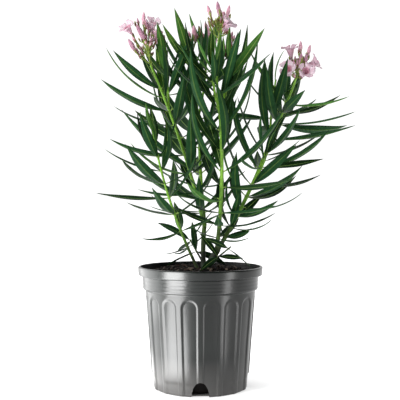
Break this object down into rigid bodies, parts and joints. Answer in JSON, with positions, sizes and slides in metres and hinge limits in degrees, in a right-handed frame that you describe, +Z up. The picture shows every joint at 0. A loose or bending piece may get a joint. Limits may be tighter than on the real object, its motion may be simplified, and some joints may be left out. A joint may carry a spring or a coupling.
{
  "type": "potted oleander",
  "caption": "Young flowering oleander with bare lower stems, whorled lance-shaped leaves and pink flower heads, in a fluted round nursery pot filled with bark mix.",
  "frame": {"origin": "centre of the pot's flat underside", "axes": "+Z up along the pot's axis, -Y towards the side the picture shows, +X to the right as seen from there"},
  "size_m": [0.5305, 0.4428, 0.8044],
  "materials": {
    "pot_plastic": "blow-moulded dark grey polyethylene, satin gloss",
    "potting_mix": "composted bark chips, moist and matte",
    "green_bark": "smooth young bark, lime green above and olive grey at the foot",
    "foliage": "leathery leaves, satin, with pale pink blossoms"
  },
  "bodies": {
    "root": {"pot": "pot_plastic", "potting_mix": "potting_mix", "stem_left": "green_bark", "stem_back": "green_bark", "stem_front": "green_bark", "bough_back": "green_bark", "bough_inner": "green_bark", "bough_right": "green_bark", "bough_centre": "green_bark", "foliage_left_low": "foliage", "foliage_left_top": "foliage", "foliage_inner_low": "foliage", "foliage_inner_middle": "foliage", "foliage_inner_top": "foliage", "foliage_right_low": "foliage", "foliage_right_middle": "foliage", "foliage_right_top": "foliage", "foliage_centre_low": "foliage", "foliage_centre_middle": "foliage", "foliage_centre_top": "foliage", "foliage_back_low": "foliage", "foliage_back_middle": "foliage", "foliage_back_right_top": "foliage", "foliage_centre_left_top": "foliage", "foliage_centre_right_top": "foliage", "foliage_right_upper": "foliage", "foliage_right_back": "foliage", "foliage_right_side": "foliage", "foliage_back_left_top": "foliage", "foliage_inner_leafy_top": "foliage", "foliage_foot_front": "foliage", "foliage_foot_back": "foliage"}
  },
  "joints": []
}
